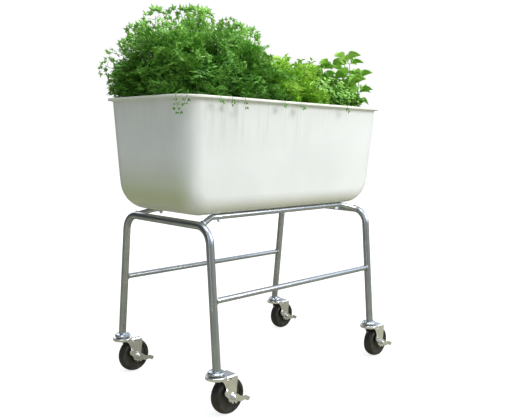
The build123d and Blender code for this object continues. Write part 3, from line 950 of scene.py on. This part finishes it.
# %% Small paired leaves
def small_leaf(width, cup, seed):
    """A plain pointed leaf, one unit long, from the origin along +Y."""
    dice = random.Random(seed)
    bm = bmesh.new()
    bmesh.ops.create_cone(bm, segments=8, radius1=1, radius2=0, depth=0.1, cap_ends=True, cap_tris=True)
    bmesh.ops.remove_doubles(bm, verts=bm.verts, dist=0.001)
    for vertex in bm.verts:
        x, y, z = vertex.co
        along = (y + 1) / 2
        vertex.co.x = x * width * 0.5 * (1.15 - 0.35 * along)
        vertex.co.y = along
        vertex.co.z = z + cup * x * x - 0.25 * along * along + dice.uniform(-0.02, 0.02)
    return store(bm, "small_leaf")


small_leaves = [small_leaf(0.52, 0.12, 31), small_leaf(0.60, 0.2, 32)]


def paired_sprig(seed, pairs, leaf_size):
    """A stem one unit long, along +Y, with pairs of leaves, each pair square to the last."""
    dice = random.Random(seed)
    bm = bmesh.new()
    pour(bm, stalk, between((0, 0, 0), (0, 0.9, 0), 0.016))
    for pair in range(pairs):
        t = 0.30 + 0.60 * pair / (pairs - 1)
        quarter = (pair % 2) * math.pi / 2 + dice.uniform(-0.3, 0.3)
        for side in (0, math.pi):
            out = Vector((math.cos(quarter + side), 0.45 + 0.5 * t, math.sin(quarter + side)))
            length = leaf_size * (1.15 - 0.5 * t) * dice.uniform(0.85, 1.15)
            pour(bm, dice.choice(small_leaves), pointing((0, t, 0), out, (0, 1, 0), length))
    for _ in range(2):
        out = Vector((dice.uniform(-0.4, 0.4), 1, dice.uniform(-0.4, 0.4)))
        placed = pointing((0, 0.9, 0), out, (dice.uniform(-1, 1), 0, 1), leaf_size * 0.6)
        pour(bm, small_leaves[0], placed)
    return store(bm, "paired_sprig")


paired_sprigs = [paired_sprig(seed, 5, 0.36) for seed in range(51, 56)]
frilly_fronds = [frond(seed, 2, 0.40, 0.12) for seed in range(61, 65)]


def clear_of_basil(point):
    """Whether a point is left of the basil."""
    return (point - Vector((0.35, -0.08, point.z))).length > 0.035


bm = bmesh.new()
scatter(
    bm,
    frilly_fronds,
    [
        ((0.045, 0.000, 0.895), (0.075, 0.140, 0.080), 26),
        ((0.120, -0.050, 0.875), (0.070, 0.110, 0.072), 22),
        ((0.080, -0.120, 0.855), (0.120, 0.040, 0.030), 10),
    ],
    0.062,
    0.4,
    70,
)
finish_piece(bm, "frilly_herb", [herb_leaf], ["low_herbs"])

bm = bmesh.new()
scatter(
    bm,
    paired_sprigs,
    [
        ((0.200, 0.000, 0.880), (0.090, 0.140, 0.075), 38),
        ((0.300, 0.000, 0.872), (0.090, 0.145, 0.070), 34),
        ((0.240, -0.125, 0.852), (0.120, 0.035, 0.028), 14),
    ],
    0.060,
    0.7,
    71,
    keep=clear_of_basil,
)
finish_piece(bm, "small_leaved_herb", [grey_herb_leaf], ["low_herbs"])

# %% [markdown]
# ## Basil
#
# Basil leaves are large enough to need a shape of their own: a blade folded a little along its
# midrib, cupped between the veins and bent down at the tip. It starts as a small grid, which is
# narrowed to a point at each end and given thickness.

# %% A basil leaf
def basil_blade(fold, bend, seed):
    """A broad pointed leaf, one unit long, from the origin along +Y, facing +Z."""
    dice = random.Random(seed)
    bm = bmesh.new()
    bmesh.ops.create_grid(bm, x_segments=4, y_segments=8, size=1)
    for vertex in bm.verts:
        x, y, _ = vertex.co
        along = (y + 1) / 2
        half_width = max(0.002, 0.74 * along ** 0.72 * (1 - along) ** 1.15)
        blister = 0.03 * math.sin(along * 22) * abs(x) * (1 - abs(x)) * 4
        vertex.co.x = x * half_width
        vertex.co.y = along
        crinkle = dice.uniform(-0.006, 0.006)
        vertex.co.z = fold * abs(x) * half_width * 3 - bend * along ** 2 + blister + crinkle
    bmesh.ops.remove_doubles(bm, verts=bm.verts, dist=0.0025)
    bmesh.ops.solidify(bm, geom=bm.faces, thickness=0.012)
    return store(bm, "basil_blade")


basil_blades = [basil_blade(0.5, 0.15, 81), basil_blade(0.35, 0.35, 82), basil_blade(0.7, 0.08, 83)]
print("a basil leaf has", len(basil_blades[0].polygons), "faces")

# %% Grow the basil
BASIL_STEMS = [
    ((0.335, -0.065, SOIL_TOP), (0.348, -0.085, 1.004), 0.058),
    ((0.350, -0.100, SOIL_TOP), (0.372, -0.085, 0.996), 0.054),
    ((0.370, -0.110, SOIL_TOP), (0.384, -0.120, 0.948), 0.056),
    ((0.340, -0.040, SOIL_TOP), (0.300, -0.060, 0.985), 0.056),
    ((0.300, -0.030, SOIL_TOP), (0.255, -0.060, 0.970), 0.052),
    ((0.385, -0.080, SOIL_TOP), (0.398, -0.110, 0.900), 0.056),
    ((0.370, -0.020, SOIL_TOP), (0.380, 0.030, 0.960), 0.050),
]


def basil_plant(bm, stems, seed):
    """Stems with a pair of leaves every few centimetres and a rosette at the top."""
    dice = random.Random(seed)
    for root, top, leaf_length in stems:
        root, top = Vector(root), Vector(top)
        run = top - root
        bend = Vector((dice.uniform(-1, 1), dice.uniform(-1, 1), 0)) * 0.008

        def at(t):
            return root + run * t + bend * math.sin(math.pi * t)

        for step in range(5):
            pour(bm, stalk, between(at(step / 5), at((step + 1) / 5), 0.0026 - 0.0002 * step))
        whorls = max(3, round(run.length / 0.042))
        for whorl in range(1, whorls + 1):
            t = whorl / whorls
            quarter = whorl * math.pi / 2 + dice.uniform(-0.3, 0.3)
            top_whorl = whorl == whorls
            for side in range(4 if top_whorl else 2):
                angle = quarter + side * (math.pi / 2 if top_whorl else math.pi)
                out = Vector((math.cos(angle), math.sin(angle), dice.uniform(-0.05, 0.4)))
                petiole = at(t) + out.normalized() * leaf_length * 0.22
                pour(bm, stalk, between(at(t), petiole, 0.0012))
                length = leaf_length * dice.uniform(0.8, 1.2) * (0.85 if top_whorl else 1.0)
                placed = pointing(petiole, out, (0, 0, 1), length, length * 0.85)
                pour(bm, dice.choice(basil_blades), placed)


bm = bmesh.new()
basil_plant(bm, BASIL_STEMS, 90)
finish_piece(bm, "basil", [basil_leaf], ["basil_bush"])

# %% [markdown]
# ## Sprigs over the rim
#
# A few fronds hang over the front of the tub, the longest at its left corner. Each rises from the
# soil, crosses the rim and drops down the wall outside.

# %% Hang the sprigs
RIM_TOP = 0.843
OVER_RIM = [
    # the rim's point, the way out from it, and the frond's length
    ((-0.427, -0.155), (-0.85, -0.50), 0.044),
    ((-0.412, -0.181), (-0.65, -0.75), 0.022),
    ((-0.325, -0.199), (-0.10, -1.0), 0.012),
    ((-0.285, -0.199), (0.15, -1.0), 0.014),
    ((-0.238, -0.199), (0.00, -1.0), 0.022),
    ((-0.085, -0.199), (0.10, -1.0), 0.012),
    ((-0.010, -0.199), (-0.10, -1.0), 0.014),
    ((0.205, -0.199), (0.05, -1.0), 0.013),
]


def hanging_sprig(bm, rim_point, way, length, dice):
    """A stem from the soil over the rim, with leaflets down the part that hangs outside."""
    out = Vector((*way, 0)).normalized()
    over = Vector((*rim_point, RIM_TOP + 0.004))
    inside = over - out * 0.045 + Vector((0, 0, 0.012))
    root = Vector((inside.x, inside.y, SOIL_TOP - 0.004)) - out * 0.01
    outside = over + out * 0.007 - Vector((0, 0, 0.004))
    for start, end in ((root, inside), (inside, over), (over, outside)):
        pour(bm, stalk, between(start, end, 0.0010))
    across = Vector((-out.y, out.x, 0))
    sway = dice.uniform(-0.35, 0.35)
    here = outside
    steps = max(2, round(length / 0.011))
    for step in range(steps):
        share = (step + 1) / steps
        drop = Vector((0, 0, -1)) + across * (sway + dice.uniform(-0.25, 0.25))
        drop += out * dice.uniform(0.0, 0.25)
        there = here + drop.normalized() * length / steps
        pour(bm, stalk, between(here, there, 0.0008))
        for side in (-1, 1) if share < 1 else (-1, 0, 1):
            aim = Vector((0, 0, dice.uniform(-1.0, -0.3))) + across * side * dice.uniform(0.5, 1.1)
            aim += out * dice.uniform(0.1, 0.6)
            face = out + Vector(dice.uniform(-0.4, 0.4) for _ in range(3))
            leaf_length = dice.uniform(0.010, 0.017)
            pour(bm, dice.choice(leaflets), pointing(there, aim, face, leaf_length))
        here = there


bm = bmesh.new()
dice = random.Random(95)
for rim_point, way, length in OVER_RIM:
    hanging_sprig(bm, rim_point, way, length, dice)
finish_piece(bm, "hanging_sprigs", [parsley_leaf], ())

# %% [markdown]
# ## The soil's surface
#
# Between the stems the soil is lumpy. A fine grid is pulled into the shape of the tub's inside, its
# middle is raised by noise in two sizes, and its edge is turned down so that it closes on the soil.

# %% Crumbly top
def soil_crust():
    """A lumpy sheet over the soil block, to the tub's inner wall."""
    half_x, half_y, corner = 0.4125, 0.1795, 0.050
    bm = bmesh.new()
    bmesh.ops.create_grid(bm, x_segments=200, y_segments=90, size=1)
    for vertex in bm.verts:
        x, y = vertex.co.x * half_x, vertex.co.y * half_y
        over_x, over_y = abs(x) - (half_x - corner), abs(y) - (half_y - corner)
        if over_x > 0 and over_y > 0:
            shrink = max(over_x, over_y) / math.hypot(over_x, over_y)
            x = math.copysign(half_x - corner + over_x * shrink, x)
            y = math.copysign(half_y - corner + over_y * shrink, y)
        lumps = noise.noise(Vector((x * 30, y * 30, 3.0))) * 0.004
        crumbs = noise.noise(Vector((x * 160, y * 160, 7.0))) * 0.0022
        edge = max(abs(vertex.co.x), abs(vertex.co.y)) > 0.999
        vertex.co = Vector((x, y, SOIL_TOP + (0.001 if edge else 0.0045 + lumps + crumbs)))
    rim_edges = [edge for edge in bm.edges if edge.is_boundary]
    skirt = bmesh.ops.extrude_edge_only(bm, edges=rim_edges)["geom"]
    lower = [item for item in skirt if isinstance(item, bmesh.types.BMVert)]
    for vertex in lower:
        vertex.co.z = SOIL_TOP - 0.003
    bmesh.ops.holes_fill(bm, edges=[edge for edge in bm.edges if edge.is_boundary])
    bmesh.ops.recalc_face_normals(bm, faces=bm.faces)
    return bm


finish_piece(soil_crust(), "soil_crust", [potting_mix], ())

# %% [markdown]
# ## The floor
#
# A plain pale floor, wide enough that its edge never shows. The camera sees it as clean as the room
# behind it, with only a faint shadow. To the planter it acts as a lawn: what light it sends back up
# onto the tub and the tubes is dimmer and a little green.

# %% Lay the floor
bm = bmesh.new()
bmesh.ops.create_grid(bm, x_segments=1, y_segments=1, size=9)
floor_mesh = bpy.data.meshes.new("floor")
bm.to_mesh(floor_mesh)
bm.free()
floor = bpy.data.objects.new("floor", floor_mesh)
scene.collection.objects.link(floor)
floor_paint, tree, shader = new_material("floor_paint", Roughness=0.9)
tint = use_group(
    tree, mottle, Colour_A=(0.36, 0.36, 0.355, 1), Colour_B=(0.34, 0.34, 0.335, 1), Scale=1.5
)
shader.inputs["Emission Color"].default_value = (1, 1, 1, 1)
where = tree.nodes.new("ShaderNodeTexCoord")
distance = tree.nodes.new("ShaderNodeVectorMath")
distance.operation = "LENGTH"
glow = remap(tree, 1.0, 3.5, 0.78, 1.0)
lawn = tree.nodes.new("ShaderNodeBsdfDiffuse")
lawn.inputs["Color"].default_value = (0.35, 0.34, 0.24, 1)
path = tree.nodes.new("ShaderNodeLightPath")
either = tree.nodes.new("ShaderNodeMixShader")
out = tree.nodes["Material Output"]
wire(
    tree,
    (tint, "Color", shader, "Base Color"),
    (where, "Object", distance, 0),
    (distance, "Value", glow, "Value"),
    (glow, "Result", shader, "Emission Strength"),
    (path, "Is Camera Ray", either, "Fac"),
    (either, "Shader", out, "Surface"),
)
tree.links.new(lawn.outputs[0], either.inputs[1])
tree.links.new(shader.outputs[0], either.inputs[2])
floor_mesh.materials.append(floor_paint)
